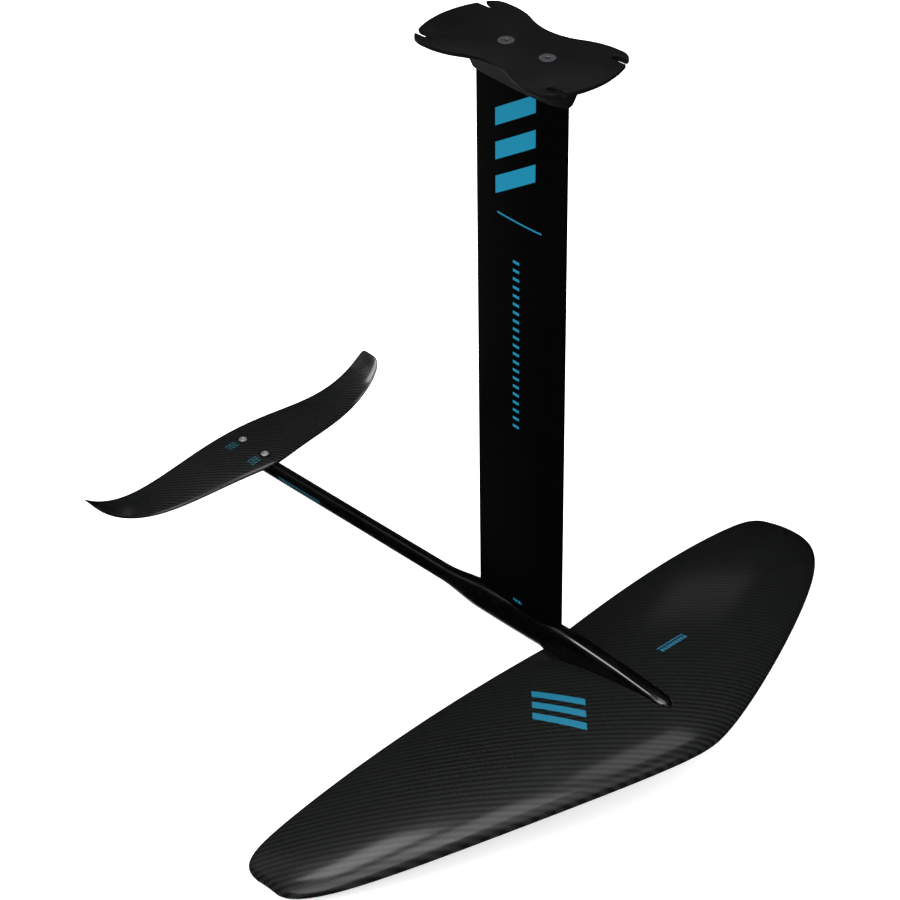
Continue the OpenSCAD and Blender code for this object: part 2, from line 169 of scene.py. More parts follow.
def box_solid(corners):
    """Closed box from four lower and four upper corners, in millimetres."""
    bm = bmesh.new()
    rows = stack(bm, [corners[:4], corners[4:]])
    cap(bm, [rows[0]])
    cap(bm, [rows[1]])
    return finish_mesh("cutter", bm)


def prism(outline, low, high):
    bm = bmesh.new()
    rows = stack(bm, [at_height(outline, low), at_height(outline, high)])
    cap(bm, [rows[0]])
    cap(bm, [rows[1]])
    return finish_mesh("cutter", bm)


def cut(piece, cutters, sharp=30):
    """Subtracts the cutters and removes them."""
    for cutter in cutters:
        step = piece.modifiers.new("cut", "BOOLEAN")
        step.operation = "DIFFERENCE"
        step.solver = "EXACT"
        step.object = cutter
    graph = bpy.context.evaluated_depsgraph_get()
    mesh = bpy.data.meshes.new_from_object(piece.evaluated_get(graph))
    piece.modifiers.clear()
    old, piece.data = piece.data, mesh
    bpy.data.meshes.remove(old)
    for cutter in cutters:
        bpy.data.objects.remove(cutter)
    mesh.validate()
    shade(mesh, sharp)


# ---------- Driving dimensions, in millimetres ----------
def span_of(node, axis):
    low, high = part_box(node)
    return low[axis] / MM, high[axis] / MM


PLATE_BOTTOM = span_of("mast_plate", 2)[0]
COLLAR_BOTTOM = span_of("mast_head", 2)[0]
MAST_TRAIL, MAST_LEAD = span_of("mast", 0)
MAST_BOTTOM, MAST_TOP = span_of("mast", 2)
MAST_THICK = span_of("mast", 1)[1] - span_of("mast", 1)[0]
BODY_TAIL, BODY_NOSE = span_of("fuselage", 0)
MAST_CHORD = MAST_LEAD - MAST_TRAIL
# Board slots: centre of the round end, width, and how far past that centre their walls can run
SLOT_X, SLOT_Y, SLOT_W = 82.5, 45, 8.5
SLOT_REACH = 17
RIM_CHAMFER, SLOT_CHAMFER = 2.3, 0.35
# Places of the screws along the foil
HEAD_SCREWS = (-19.6, 35.4)
WING_SCREWS = (85, 130, 175)
STAB_SCREWS = (-464.3, -424.2)
# Radii of the bores that the screws pass through
M8_BORE, M6_BORE = 4.2, 3.2
RIB = 17
MAST_WALL = 2.2
MAST_EDGE = 0.6
SOCKET_GAP = 0.12
# Fuselage: height of its axis and of its seat in the wing, half width and half height of boom and socket
AXIS_Z = -698
SEAT_Z = AXIS_Z - 15
BOOM = (8.2, 9.6)
SOCKET = (13, 18)
# Pockets under the fuselage for the heads of the screws into the mast
FOOT_POCKET_R, FOOT_POCKET_DEPTH = 6.7, 6.2
# Cup washers: width, thickness and depth of the screw's bed
CUP_D, CUP_T = 14.5, 3.2
CUP_BED = 1.8
# The stabiliser's cups stand out of its top; the front wing's lie a little inside its underside
CUP_PROUD = 0.4
CUP_SUNK = 0.4
# How far a cutter runs past the solid that it cuts
REACH = 60


# ---------- Sections and lifting surfaces ----------
def section_half(u):
    """Half thickness of a symmetric section of unit chord and thickness, at u from the nose."""
    return 5 * (0.2969 * np.sqrt(u) - 0.126 * u - 0.3516 * u**2 + 0.2843 * u**3 - 0.1036 * u**4)


def round_edge(distance, radius):
    """Quarter circle that carries a blunt edge of that radius to nothing."""
    t = np.clip(distance / radius, 0, 1)
    return radius * np.sqrt(1 - (1 - t) ** 2)


class LiftingSurface:
    """A swept, drooped and cambered surface with rounded leading and trailing edges."""

    apex_round = 0.08
    end_angle = radians(87.5)
    tip_length = 6

    def __init__(self, lead, sweep, trail, trail_slope, tip, half, lead_powers, trail_powers,
                 thick, camber, height, droop, slope, edge):
        self.lead, self.sweep, self.trail, self.trail_slope = lead, sweep, trail, trail_slope
        self.tip, self.half = tip, half
        self.lead_powers, self.trail_powers = lead_powers, trail_powers
        self.thick, self.camber, self.height = thick, camber, height
        self.droop, self.slope, self.edge = droop, slope, edge
        self.end = half * sin(self.end_angle)

    def rounding(self, r, powers):
        return np.maximum(0, 1 - r ** powers[0]) ** (1 / powers[1])

    def lead_x(self, y):
        r = np.abs(y) / self.half
        line = self.lead - self.sweep * (np.sqrt(r * r + self.apex_round**2) - self.apex_round)
        return self.tip + (line - self.tip) * self.rounding(r, self.lead_powers)

    def trail_x(self, y):
        r = np.abs(y) / self.half
        gap = self.tip - self.trail - self.trail_slope * np.abs(y)
        return self.tip - gap * self.rounding(r, self.trail_powers)

    def chord(self, y):
        return self.lead_x(y) - self.trail_x(y)

    def plane_z(self, x, y):
        r = np.abs(y) / self.half
        return self.height + self.droop[0] * r**2 + self.droop[1] * r**4 + self.slope * x

    def middle(self, u, y):
        """Mid line of the section at share u of the chord, as x, y, z."""
        c = self.chord(y)
        x = self.lead_x(y) - u * c
        return x, y, self.plane_z(x, y) + 4 * self.camber * u * (1 - u) * c

    def half_thick(self, u, y):
        c = self.chord(y)
        full = self.thick * c * section_half(u) + round_edge(np.minimum(u, 1 - u) * c, self.edge)
        past = np.clip((np.abs(y) - self.end + self.tip_length) / self.tip_length, 0, 1)
        return full * np.sqrt(1 - past**2)

    def z_at(self, x, y, side):
        u = np.float64((self.lead_x(y) - x) / self.chord(y))
        return float(self.middle(u, y)[2] + side * self.half_thick(u, y))

    def grid(self, chord_steps, span_steps):
        u = (1 - np.cos(np.linspace(0, pi, chord_steps + 1))) / 2
        y = self.half * np.sin(np.linspace(-self.end_angle, self.end_angle, span_steps + 1))
        return np.meshgrid(u, y, indexing="ij")


WING = LiftingSurface(
    lead=282.7, sweep=75, trail=38.8, trail_slope=-0.094, tip=60, half=423.4,
    lead_powers=(1.6, 1.87), trail_powers=(25, 4.45), thick=0.12, camber=0.033,
    height=-722.1, droop=(-50.3, -11.7), slope=0.033, edge=0.5,
)
STAB = LiftingSurface(
    lead=-404.5, sweep=53, trail=-489.6, trail_slope=0, tip=-478, half=224,
    lead_powers=(26, 3.6), trail_powers=(80, 5), thick=0.08, camber=0.01,
    height=-715.6, droop=(-62.2, 79.1), slope=-0.066, edge=0.5,
)
SKIN = 1.4


def lens(name, surface, chord_steps, span_steps, upper, lower):
    """Closed solid between two heights over the grid, which meet all round its border."""
    u, y = surface.grid(chord_steps, span_steps)
    x, y, z = surface.middle(u, y)
    half = surface.half_thick(u, y)
    bm = bmesh.new()
    top = [[bm.verts.new(p) for p in zip(*row)] for row in zip(x, y, z + upper(half))]
    low = [[bm.verts.new(p) for p in zip(*row)] for row in zip(x, y, z + lower(half))]
    for i in range(chord_steps):
        for j in range(span_steps):
            for g, order in ((top, 1), (low, -1)):
                ring = (g[i][j], g[i][j + 1], g[i + 1][j + 1], g[i + 1][j])
                bm.faces.new(ring[::order])
    return finish_mesh(name, bm)


def fuselage_station(stations, x):
    """Half width, height and depth at x, on a monotone curve through the stations."""
    xs = np.array([s[0] for s in stations], float)
    k = min(max(int(np.searchsorted(xs, x)) - 1, 0), len(xs) - 2)
    out = []
    for n in (1, 2, 3):
        v = np.array([s[n] for s in stations], float)
        steps = np.diff(v) / np.diff(xs)
        slopes = np.concatenate([[steps[0]], np.zeros(len(steps) - 1), [steps[-1]]])
        for m in range(1, len(steps)):
            if steps[m - 1] * steps[m] > 0:
                slopes[m] = 2 * steps[m - 1] * steps[m] / (steps[m - 1] + steps[m])
        h = xs[k + 1] - xs[k]
        t = (x - xs[k]) / h
        out.append(
            v[k] * (1 + 2 * t) * (1 - t) ** 2 + h * slopes[k] * t * (1 - t) ** 2
            + v[k + 1] * t * t * (3 - 2 * t) + h * slopes[k + 1] * t * t * (t - 1)
        )
    return out


# ---------- Mast plate ----------
PLATE_L = span_of("mast_plate", 0)[1] * 2
PLATE_W = span_of("mast_plate", 1)[1] * 2
PLATE_WAIST, END_R, WAIST_R, CORNER_R, SIDE_R = 86.8, 101.4, 73.8, 20.4, 80


def arc(centre, radius, start, end, steps):
    """Points on an arc after its start, angles in radians."""
    turns = [start + (end - start) * k / steps for k in range(1, steps + 1)]
    return [(centre[0] + radius * cos(a), centre[1] + radius * sin(a)) for a in turns]


def plate_quarter():
    """Bowed end with a board slot open to it, lobe's corner, lobe's side and half of the hollow.

    The corner's arc starts a little past the slot's mouth, so that a chamfer can't fold there.
    """
    end_x = PLATE_L / 2 - END_R
    corner_y = PLATE_W / 2 - CORNER_R
    corner_run = sqrt((END_R - CORNER_R) ** 2 - corner_y**2)
    corner = atan2(corner_y, corner_run)
    side_y, waist_y = PLATE_W / 2 - SIDE_R, PLATE_WAIST / 2 + WAIST_R
    side_x = sqrt((WAIST_R + SIDE_R) ** 2 - (waist_y - side_y) ** 2)
    side = atan2(waist_y - side_y, -side_x)
    mouth = [asin((SLOT_Y + s * SLOT_W / 2) / END_R) for s in (-1, 1)]
    return (
        [(PLATE_L / 2, 0)]
        + arc((end_x, 0), END_R, 0, mouth[0], 20)
        + [(SLOT_X, SLOT_Y - SLOT_W / 2)]
        + arc((SLOT_X, SLOT_Y), SLOT_W / 2, -pi / 2, -3 * pi / 2, 24)
        + [(end_x + END_R * cos(mouth[1]), SLOT_Y + SLOT_W / 2)]
        + arc((end_x + corner_run, corner_y), CORNER_R, corner + radians(4), pi / 2, 22)
        + [(side_x, PLATE_W / 2)]
        + arc((side_x, side_y), SIDE_R, pi / 2, side, 20)
        + arc((0, waist_y), WAIST_R, side - pi, -pi / 2, 24)
    )


def plate_outline():
    quarter = np.array(plate_quarter())
    back = quarter[-2:0:-1]
    return np.concatenate([quarter, back * (-1, 1), -quarter, back * (1, -1)])


def make_plate():
    """Plate with a small top bevel and a wide chamfer under its outer rim."""
    outline = plate_outline()
    middle = (outline + np.roll(outline, -1, 0)) / 2
    in_slot = (np.abs(np.abs(middle[:, 1]) - SLOT_Y) < SLOT_W / 2 + 0.1)
    in_slot &= np.abs(middle[:, 0]) > SLOT_X - SLOT_W / 2 - 0.1
    in_slot &= np.abs(middle[:, 0]) < SLOT_X + SLOT_REACH
    chamfer = np.where(in_slot, SLOT_CHAMFER, RIM_CHAMFER)
    # Depth, inset and share of the chamfer
    levels = [
        (0, 0.45, 0), (0.12, 0.15, 0), (0.45, 0, 0), (3.4, 0, 0),
        (3.7, 0.12, 0), (5.75, 0, 1), (6, 0.25, 1),
    ]
    bm = bmesh.new()
    loops = []
    for depth, rim, share in levels:
        loops.append(at_height(inset(outline, rim + share * chamfer), -depth))
    rows = stack(bm, loops)
    bores = []
    for x in HEAD_SCREWS:
        cone = [(8.85, 0), (8.6, -0.12), (8.5, -0.3), (M8_BORE, -4.6), (M8_BORE, PLATE_BOTTOM)]
        bores.append(stack(bm, [at_height(circle((x, 0), r), z) for r, z in cone]))
    cap(bm, [rows[0]] + [bore[0] for bore in bores])
    cap(bm, [rows[-1]] + [bore[-1] for bore in bores])
    return finish_mesh("plate", bm, sharp=24)


# ---------- Mast and collar ----------
def mast_side(steps=64):
    """Half of the mast's section, from its nose to its tail: x and half thickness."""
    u = (1 - np.cos(np.linspace(0, pi, steps + 1))) / 2
    distance = np.minimum(u, 1 - u) * MAST_CHORD
    half = (MAST_THICK - 2 * MAST_EDGE) * section_half(u) + round_edge(distance, MAST_EDGE)
    return MAST_LEAD - u * MAST_CHORD, half


def mast_outline():
    x, half = mast_side()
    port = list(zip(x, half))
    starboard = list(zip(x[-2:0:-1], -half[-2:0:-1]))
    return port + starboard


def grown_outline(grow, sides=18, ends=22):
    """The mast's outline moved outwards by grow, with the same number of points at any growth."""
    hull = np.array(mast_outline())
    flat = radians(14)
    turns = []
    for quarter in range(4):
        centre = quarter * pi / 2
        reach = flat if quarter % 2 else pi / 2 - flat
        turns.append(centre + np.linspace(-reach, reach, sides * 4 if quarter % 2 else ends, endpoint=False))
    turns = np.concatenate(turns)
    out = np.stack([np.cos(turns), np.sin(turns)], 1)
    return hull[np.argmax(out @ hull.T, axis=1)] + grow * out


def make_collar():
    """Flared collar under the plate, with the mast's socket in it."""
    # Height, and growth past the mast's outline: a straight flare with a rounded lower edge
    walls = [
        (-6.02, 17.0), (-7, 16.62), (-12, 14.7), (-24, 10.11), (-38, 4.75), (-40.4, 3.83), (-41.2, 3.45),
        (-43.5, 1.28), (-44, 0.7),
    ]
    bm = bmesh.new()
    socket = grown_outline(SOCKET_GAP)
    loops = [at_height(grown_outline(grow), z) for z, grow in walls]
    loops += [at_height(socket, COLLAR_BOTTOM), at_height(socket, MAST_TOP)]
    rows = stack(bm, loops)
    cap(bm, [rows[0]])
    cap(bm, [rows[-1]])
    return finish_mesh("collar", bm, sharp=26)


def chamber(front, rear, steps=24):
    """Outline of one hollow of the mast, a wall inside its surface."""
    x = np.linspace(front, rear, steps)
    u = (MAST_LEAD - x) / MAST_CHORD
    half = MAST_EDGE + (MAST_THICK - 2 * MAST_EDGE) * section_half(u) - MAST_WALL
    return list(zip(x, half)) + list(zip(x[::-1], -half[::-1]))


def make_mast():
    """Hollow extrusion with three chambers between two solid screw ribs."""
    rear, front = HEAD_SCREWS
    chambers = [
        chamber(MAST_LEAD - 9, front + RIB / 2),
        chamber(front - RIB / 2, rear + RIB / 2),
        chamber(rear - RIB / 2, MAST_TRAIL + 22),
    ]
    bm = bmesh.new()
    ends = (MAST_BOTTOM, MAST_TOP)
    outer = stack(bm, [at_height(mast_outline(), z) for z in ends])
    inner = [stack(bm, [at_height(loop, z) for z in ends]) for loop in chambers]
    for end in (0, 1):
        cap(bm, [outer[end]] + [rows[end] for rows in inner])
    return finish_mesh("mast_section", bm)


# ---------- Fuselage ----------
# Places along the fuselage, with its half width, its height above the axis and its depth below
STATIONS = [
    (BODY_TAIL, BOOM[0] - 1.4, BOOM[1] + 2, BOOM[1] - 1.6),
    (BODY_TAIL + 6, BOOM[0], BOOM[1] + 3.6, BOOM[1]),
    (-398, BOOM[0], BOOM[1] + 0.2, BOOM[1]),
    (-118, BOOM[0] + 0.4, BOOM[1] + 0.4, BOOM[1] + 0.2),
    (-56, SOCKET[0] - 0.4, SOCKET[1], SOCKET[1] - 1.8),
    (0, SOCKET[0], SOCKET[1] + 1.4, SOCKET[1] - 1.4),
    (66, SOCKET[0] - 0.4, SOCKET[1] + 1.8, SOCKET[1] - 1.4),
    (130, 11.2, 16.6, 16.6),
    (190, 10.2, 10.6, 16.6),
    (210, 9.2, 7.6, 15.6),
    (219, 6.4, 5.2, 15.4),
    (BODY_NOSE, 2, 2.4, 14.6),
]
# The stabiliser's seat: its front end, and how far it lies under the stabiliser's chord plane
SEAT_START = STAB.lead + 2
SEAT_DROP = 1.8


def tail_seat(x):
    return float(STAB.plane_z(x, 0.0)) - SEAT_DROP


def fuselage_ring(x, points=72):
    """Superellipse at x, cut flat by the tail's seat and by the seat in the front wing."""
    width, up, down = fuselage_station(STATIONS, x)
    top_power = 2.5 + 0.7 * np.clip((x - 60) / 80, 0, 1)
    under_power = 2.5 + 5 * np.clip((x - 40) / 40, 0, 1)
    ring = []
    for k in range(points):
        a = 2 * pi * k / points
        power = under_power if sin(a) < 0 else top_power
        c = abs(cos(a)) ** (2 / power) * (1 if cos(a) > 0 else -1)
        s = abs(sin(a)) ** (2 / power) * (1 if sin(a) > 0 else -1)
        z = AXIS_Z + (up if s > 0 else down) * s
        if x < SEAT_START:
            z = min(z, tail_seat(x))
        if x > 30:
            z = max(z, SEAT_Z)
        ring.append((x, width * c, z))
    return ring


def fuselage_rows():
    """Places of the rings, closer together where the shape turns."""
    tail = [BODY_TAIL + 6 * (1 - cos(pi / 2 * k / 6)) for k in range(6)]
    seat = list(np.linspace(BODY_TAIL + 6, SEAT_START - 0.02, 16))
    boom = list(np.linspace(SEAT_START + 0.02, -130, 40))
    socket = list(np.linspace(-127, 66, 60))
    neck = list(np.linspace(69, 205, 46))
    nose = [BODY_NOSE - 18 * (1 - sin(pi / 2 * k / 14)) for k in range(1, 15)]
    return tail + seat + boom + socket + neck + nose


def make_fuselage():
    """One long body: tail seat for the stabiliser, boom, mast socket, and nose that sits in the wing."""
    bm = bmesh.new()
    rows = stack(bm, [fuselage_ring(x) for x in fuselage_rows()])
    bm.faces.new(rows[0])
    bm.faces.new(rows[-1])
    body = finish_mesh("fuselage_body", bm, sharp=40)
    cutters = [prism([tuple(p) for p in grown_outline(SOCKET_GAP)], MAST_BOTTOM, MAST_BOTTOM + REACH)]
    under = SEAT_Z - 8
    for x in HEAD_SCREWS:
        cutters.append(prism(circle((x, 0), FOOT_POCKET_R), under, SEAT_Z + FOOT_POCKET_DEPTH))
        cutters.append(prism(circle((x, 0), M8_BORE), under, MAST_BOTTOM + 2))
    cut(body, cutters, sharp=40)
    return body


def wing_pocket(gap=0.3):
    """Solid of the fuselage's plan, a little larger, that cuts its pocket in the wing."""
    rows = [x for x in fuselage_rows() if x > 20]
    widths = [fuselage_station(STATIONS, x)[0] + gap for x in rows]
    port = [(x + gap, w) for x, w in zip(rows, widths)]
    starboard = [(x, -w) for x, w in port[::-1]]
    return prism((port + starboard)[::-1], SEAT_Z, SEAT_Z + REACH)


# ---------- Wings ----------
def make_wing_skin(name, side):
    """Carbon skin: outer surface on one side, foam core's bed on the other."""
    def outer(half):
        return side * half

    def inner(half):
        return side * np.maximum(half - SKIN, 0)

    upper, lower = (outer, inner) if side > 0 else (inner, outer)
    skin = lens(name, WING, 64, 150, upper, lower)
    cutters = [wing_pocket()]
    if side < 0:
        for x in WING_SCREWS:
            seat = WING.z_at(x, 0.0, -1) + CUP_T + CUP_SUNK
            cutters.append(prism(circle((x, 0), CUP_D / 2), -760, seat))
    cut(skin, cutters)
    return skin


def cup_top(x):
    return STAB.z_at(x, 0.0, 1) + CUP_PROUD


def make_stabiliser():
    """Solid carbon tail wing, notched over the boom, with a seat for each cup washer."""
    tail = lens("tail_wing", STAB, 48, 120, lambda half: half, lambda half: -half)
    width = BOOM[0] + 1
    far, near = SEAT_START - 120, SEAT_START + 20
    corners = []
    for drop in (20, 0):
        for x, y in ((far, -width), (near, -width), (near, width), (far, width)):
            corners.append((x, y, tail_seat(x) - drop))
    cutters = [box_solid(corners)]
    for x in STAB_SCREWS:
        cutters.append(prism(circle((x, 0), CUP_D / 2 + 0.1), cup_top(x) - CUP_T, cup_top(x) + 12))
        cutters.append(prism(circle((x, 0), M6_BORE), -720, cup_top(x)))
    cut(tail, cutters)
    return tail


# ---------- Fasteners ----------
def hex_ring(across, count):
    """Radius at each of count angles of a hexagon that wide across its flats."""
    turns = np.arange(count) * 2 * pi / count
    return across / 2 / np.cos((turns + pi / 6) % (pi / 3) - pi / 6)


def turned(bm, centre, z0, profile, flip=1, count=72):
    """Rings of (radius or hexagon width, height, is it a hexagon) round an upright axis."""
    rings = []
    for size, z, is_hex in profile:
        radius = hex_ring(size, count) if is_hex else np.full(count, float(size))
        turns = np.arange(count) * 2 * pi / count
        rings.append([
            (centre[0] + r * cos(a), centre[1] + r * sin(a), z0 + flip * z)
            for r, a in zip(radius, turns)
        ])
    return stack(bm, rings)


def screw(bm, x, z0, head, shank, length, socket, flip=1):
    """A screw on the centre line: shank with a chamfered point, turned head and hexagon socket."""
    across, depth = socket
    top = head[-1][1]
    profile = [(shank - 0.8, -length, False), (shank, -length + 0.8, False)]
    profile += [(r, z, False) for r, z in head]
    profile += [
        (across * 0.62, top, False), (across, top - across * 0.07, True),
        (across, top - depth, True), (across * 0.3, top - depth - 0.25, False),
    ]
    rows = turned(bm, (x, 0), z0, profile, flip)
    bm.faces.new(rows[0])
    bm.faces.new(rows[-1])


# Turned heads, as radius and height
COUNTERSUNK = [(4, -4.5), (8.15, -0.5), (8.45, -0.3), (8.45, -0.12), (8.3, 0)]
BUTTON = [(3, 0), (4.9, 0), (5.1, 0.15), (5.1, 1.2), (4.85, 1.75), (4.3, 2.15), (3.6, 2.36), (3.1, 2.4)]
LOW_BUTTON = [(3, 0), (4.9, 0), (5.1, 0.15), (5.1, 0.9), (4.8, 1.3), (4.2, 1.55), (3.1, 1.6)]


def make_plate_screws():
    bm = bmesh.new()
    for x in HEAD_SCREWS:
        screw(bm, x, -0.05, COUNTERSUNK, 4, 36, (5, 2.8))
    return finish_mesh("plate_screws", bm)


def make_stab_screws():
    bm = bmesh.new()
    for x in STAB_SCREWS:
        screw(bm, x, cup_top(x) - CUP_BED, BUTTON, 3, 12, (4, 1.5))
    return finish_mesh("tail_screws", bm)


def make_wing_screws():
    bm = bmesh.new()
    for x in WING_SCREWS:
        head = WING.z_at(x, 0.0, -1) + CUP_SUNK + CUP_BED
        screw(bm, x, head, LOW_BUTTON, 3, SEAT_Z + 12 - head, (4, 1), flip=-1)
    return finish_mesh("wing_screws", bm)


def cup_washer(bm, x, z0, flip=1):
    r, hole, bed, t = CUP_D / 2, 3.15, 5.3, CUP_T
    profile = [
        (hole, 0), (r - 0.3, 0), (r, 0.3), (r, t - 0.6), (r - 0.2, t - 0.2), (r - 0.7, t),
        (bed + 0.5, t), (bed + 0.1, t - 0.25), (bed, t - 0.6), (bed, t - CUP_BED), (hole, t - CUP_BED),
    ]
    rows = turned(bm, (x, 0), z0, [(a, b, False) for a, b in profile], flip)
    for k in range(len(rows[0])):
        q = (k + 1) % len(rows[0])
        bm.faces.new((rows[-1][k], rows[-1][q], rows[0][q], rows[0][k]))


def make_stab_washers():
    bm = bmesh.new()
    for x in STAB_SCREWS:
        cup_washer(bm, x, cup_top(x) - CUP_T)
    return finish_mesh("tail_washers", bm)


def make_wing_washers():
    bm = bmesh.new()
    for x in WING_SCREWS:
        cup_washer(bm, x, WING.z_at(x, 0.0, -1) + CUP_T + CUP_SUNK, flip=-1)
    return finish_mesh("wing_washers", bm)


# ---------- Materials ----------
def linear(*rgb):
    """Linear colour from 8-bit sRGB values."""
    out = []
    for v in rgb:
        v /= 255
        out.append(v / 12.92 if v <= 0.04045 else ((v + 0.055) / 1.055) ** 2.4)
    return (*out, 1)


class Finish:
    """A node material: small helpers that return sockets."""

    def __init__(self, name, **constants):
        self.data = bpy.data.materials.new(name)
        self.data.use_nodes = True
        self.tree = self.data.node_tree
        self.shader = self.tree.nodes["Principled BSDF"]
        for key, value in constants.items():
            self.shader.inputs[key.replace("_", " ")].default_value = value

    def node(self, kind, inputs=(), **settings):
        made = self.tree.nodes.new(kind)
        for key, value in settings.items():
            setattr(made, key, value)
        for key, value in dict(inputs).items():
            self.put(made.inputs[key], value)
        return made

    def put(self, socket, value):
        if isinstance(value, bpy.types.NodeSocket):
            self.tree.links.new(value, socket)
        else:
            socket.default_value = value

    def set(self, key, value):
        self.put(self.shader.inputs[key], value)

    def math(self, operation, *values):
        made = self.node("ShaderNodeMath", operation=operation)
        for k, value in enumerate(values):
            self.put(made.inputs[k], value)
        return made.outputs[0]

    def millimetres(self):
        """Object coordinates as x, y, z in millimetres, and the vector itself."""
        place = self.node("ShaderNodeTexCoord").outputs["Object"]
        scaled = self.node("ShaderNodeVectorMath", operation="SCALE")
        self.put(scaled.inputs[0], place)
        self.put(scaled.inputs["Scale"], 1 / MM)
        split = self.node("ShaderNodeSeparateXYZ", {0: scaled.outputs[0]})
        return split.outputs[0], split.outputs[1], split.outputs[2], scaled.outputs[0]

    def noise(self, vector, scale, detail=3.0, rough=0.55, stretch=None):
        if stretch:
            made = self.node("ShaderNodeVectorMath", operation="MULTIPLY")
            self.put(made.inputs[0], vector)
            made.inputs[1].default_value = stretch
            vector = made.outputs[0]
        inputs = {"Vector": vector, "Scale": scale, "Detail": detail, "Roughness": rough}
        return self.node("ShaderNodeTexNoise", inputs).outputs["Fac"]

    def ramp(self, value, low, high, to_low=0.0, to_high=1.0):
        inputs = {"Value": value, "From Min": low, "From Max": high, "To Min": to_low, "To Max": to_high}
        return self.node("ShaderNodeMapRange", inputs).outputs[0]

    def mix(self, share, a, b):
        made = self.node("ShaderNodeMix", data_type="RGBA")
        self.put(made.inputs[0], share)
        self.put(made.inputs[6], a)
        self.put(made.inputs[7], b)
        return made.outputs[2]

    def bump(self, height, distance_mm, strength):
        inputs = {"Height": height, "Distance": distance_mm * MM, "Strength": strength}
        return self.node("ShaderNodeBump", inputs).outputs[0]

    def near(self, value, centre, half):
        """1 where value is within half of centre."""
        away = self.math("ABSOLUTE", self.math("SUBTRACT", value, centre))
        return self.math("LESS_THAN", away, half)

    def all(self, *masks):
        out = masks[0]
        for m in masks[1:]:
            out = self.math("MULTIPLY", out, m)
        return out

    def any(self, *masks):
        out = masks[0]
        for m in masks[1:]:
            out = self.math("MAXIMUM", out, m)
        return out

    def dashes(self, value, pitch, share):
        """1 on the first share of every pitch along value."""
        return self.math("LESS_THAN", self.math("FLOORED_MODULO", value, pitch), pitch * share)

    def slant(self, a, b, rise):
        """b measured from a line that rises by that much along a."""
        return self.math("SUBTRACT", b, self.math("MULTIPLY", a, rise))


# Inks of the printed marks
TEAL = linear(1, 96, 122)
FADED_TEAL = linear(12, 78, 94)


def anodised(name, base, rough, wear, marks=None):
    """Black anodised aluminium: fine blasted grain, faint handling marks and cloudy roughness."""
    f = Finish(name, Metallic=0.0, IOR=1.5)
    x, y, z, place = f.millimetres()
    cloud = f.noise(place, 0.018, 3.0)
    grain = f.noise(place, 2.6, 2.0)
    scuff = f.noise(place, 0.22, 4.0, 0.6, stretch=(1, 1, 0.12))
    scuffed = f.ramp(scuff, 0.6, 0.78)
    colour = f.mix(f.ramp(cloud, 0.3, 0.7), base, tuple(c * 1.25 for c in base[:3]) + (1,))
    colour = f.mix(f.math("MULTIPLY", scuffed, wear), colour, linear(70, 71, 74))
    clouded = f.ramp(cloud, 0.3, 0.7, rough - 0.04, rough + 0.05)
    roughness = f.math("ADD", clouded, f.ramp(grain, 0.2, 0.8, -0.03, 0.03))
    if marks:
        mask, ink = marks(f, x, y, z)
        colour = f.mix(mask, colour, ink)
        roughness = f.math("ADD", roughness, f.math("MULTIPLY", mask, 0.04))
    f.set("Base Color", colour)
    f.set("Roughness", roughness)
    f.set("Normal", f.bump(grain, 0.02, 0.5))
    return f


def mast_marks(f, x, y, z):
    """Plain slanted bars under the collar, a rule, a ruler of ticks and a small tag."""
    tilted = f.slant(x, z, 0.62)
    bars = f.all(
        f.near(x, -1.5, 29),
        f.near(tilted, -104, 48),
        f.dashes(f.math("ADD", tilted, 152), 38, 0.52),
    )
    rule = f.all(f.near(z, -191, 0.9), f.near(x, 4, 32))
    ruler = f.all(f.near(x, 0.5, 4.6), f.near(z, -341, 105), f.dashes(z, 10, 0.34))
    tag = f.all(f.near(x, 3.5, 6.5), f.near(z, -670.5, 1.7), f.dashes(x, 4.5, 0.7))
    return f.any(bars, rule, ruler, tag), TEAL


